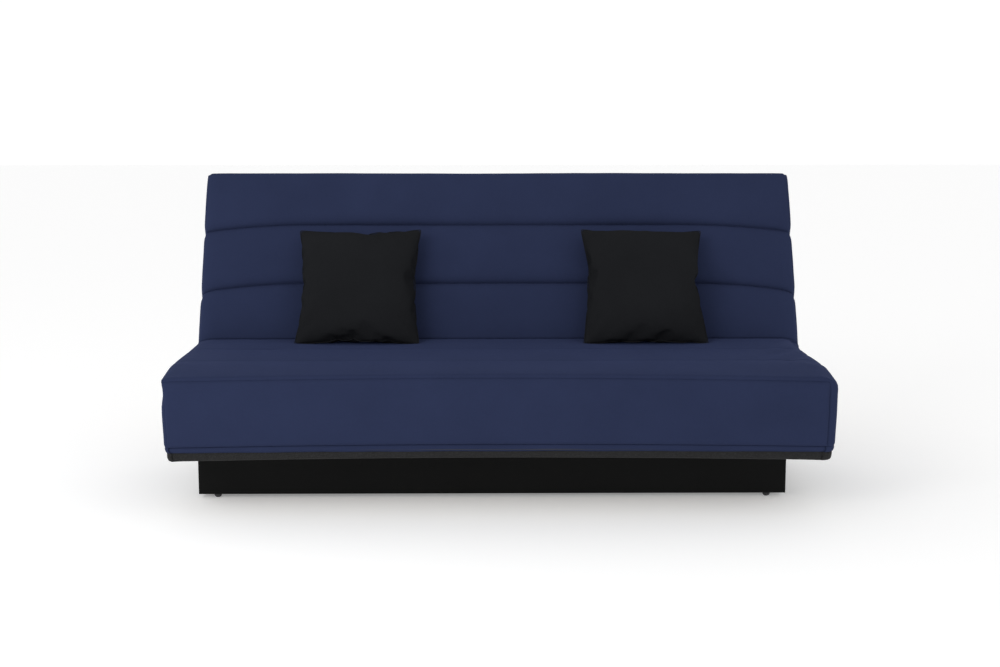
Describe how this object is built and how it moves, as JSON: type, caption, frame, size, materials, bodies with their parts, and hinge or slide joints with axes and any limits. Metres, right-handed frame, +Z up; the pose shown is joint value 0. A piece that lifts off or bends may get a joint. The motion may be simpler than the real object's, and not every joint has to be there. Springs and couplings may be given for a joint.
{
  "type": "click-clack sofa bed",
  "caption": "Fold-down sofa bed: padded seat and back halves on slatted steel frames, ratchet hinges, a low bedding box underneath and two loose scatter cushions.",
  "frame": {"origin": "centre of the sofa's overall width and depth, on the floor, with the back upright", "axes": "+X to the sitter's left as the front is viewed from (viewer's right), +Y from the front edge to the back, +Z up"},
  "size_m": [1.92, 1.1278, 0.9174],
  "materials": {
    "cover": "matt navy quilted microfibre",
    "hem": "matt black non-woven hem",
    "foam": "foam in a cream ticking sleeve",
    "cushion": "matt black microfibre",
    "panel": "black satin melamine on chipboard",
    "slat": "satin beech plywood",
    "frame": "black powder coat",
    "zinc": "zinc-plated pressed steel",
    "plastic": "matt black plastic"
  },
  "bodies": {
    "base": {"hinge_bolt_left": "zinc", "hinge_post_left": "frame", "skid_left": "frame", "rest_pad_left": "plastic", "glide_front_left": "plastic", "glide_rear_left": "plastic", "box_end_panel_left": "panel", "hinge_bolt_right": "zinc", "hinge_post_right": "frame", "skid_right": "frame", "rest_pad_right": "plastic", "glide_front_right": "plastic", "glide_rear_right": "plastic", "box_end_panel_right": "panel", "box_front_panel": "panel", "box_rear_panel": "panel", "box_floor_panel": "panel"},
    "seat": {"seat_cover": "cover", "seat_cover_hem": "hem", "seat_mattress": "foam", "seat_frame": "frame", "seat_slat_1": "slat", "seat_slat_2": "slat", "seat_slat_3": "slat", "seat_slat_4": "slat", "seat_slat_5": "slat", "seat_slat_6": "slat", "seat_slat_7": "slat", "seat_slat_8": "slat", "seat_slat_9": "slat", "seat_arm_left": "zinc", "seat_arm_right": "zinc"},
    "back": {"back_cover": "cover", "back_cover_hem": "hem", "back_mattress": "foam", "back_frame": "frame", "back_slat_1": "slat", "back_slat_2": "slat", "back_slat_3": "slat", "back_slat_4": "slat", "back_slat_5": "slat", "back_slat_6": "slat", "back_slat_7": "slat", "back_slat_8": "slat", "back_slat_9": "slat", "back_arm_left": "zinc", "back_arm_right": "zinc"},
    "pawl_left": {"pawl_left": "zinc"},
    "pawl_right": {"pawl_right": "zinc"},
    "cushion_left": {"cushion_left": "cushion"},
    "cushion_right": {"cushion_right": "cushion"}
  },
  "joints": [
    {"name": "seat_lift", "type": "hinge", "parent": "base", "child": "seat", "pos_m": [-0.02, 0.0906, 0.3395], "axis": [-1, 0, 0], "range_deg": [0, 25]},
    {"name": "back_recline", "type": "hinge", "parent": "seat", "child": "back", "pos_m": [-0.02, 0.0906, 0.3395], "axis": [1, 0, 0], "range_deg": [-60, 0]},
    {"name": "pawl_left_click", "type": "hinge", "parent": "seat", "child": "pawl_left", "pos_m": [-0.908, 0.0562, 0.2791], "axis": [-1, 0, 0], "range_deg": [0, 5]},
    {"name": "pawl_right_click", "type": "hinge", "parent": "seat", "child": "pawl_right", "pos_m": [0.868, 0.0562, 0.2791], "axis": [-1, 0, 0], "range_deg": [0, 5]},
    {"name": "cushion_left_lift_off", "type": "slide", "parent": "back", "child": "cushion_left", "axis": [0, -0.866, 0.5], "range_m": [0, 0.3]},
    {"name": "cushion_right_lift_off", "type": "slide", "parent": "back", "child": "cushion_right", "axis": [0, -0.866, 0.5], "range_m": [0, 0.3]}
  ]
}
